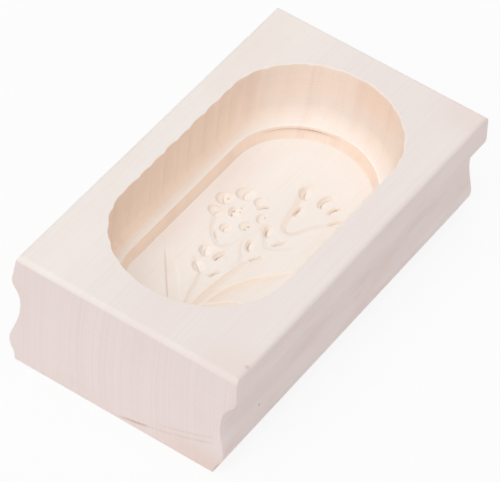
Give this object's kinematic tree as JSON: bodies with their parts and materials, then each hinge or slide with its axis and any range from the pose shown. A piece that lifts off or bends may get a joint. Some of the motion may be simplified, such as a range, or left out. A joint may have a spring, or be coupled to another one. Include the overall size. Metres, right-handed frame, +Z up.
{
  "type": "butter mould",
  "caption": "Wooden block mould with finger coves and a fluted oval hollow, whose carved floor prints a flower sprig on the butter.",
  "frame": {"origin": "middle of the underside, on the surface that the mould stands on", "axes": "+X along the length, from the end where the sprig's stems start to the end where its flowers point, +Z up out of the hollow"},
  "size_m": [0.174, 0.097, 0.051],
  "materials": {
    "wood": "fine-sanded, unoiled pale hardwood"
  },
  "bodies": {
    "root": {"mould_block": "wood"}
  },
  "joints": []
}
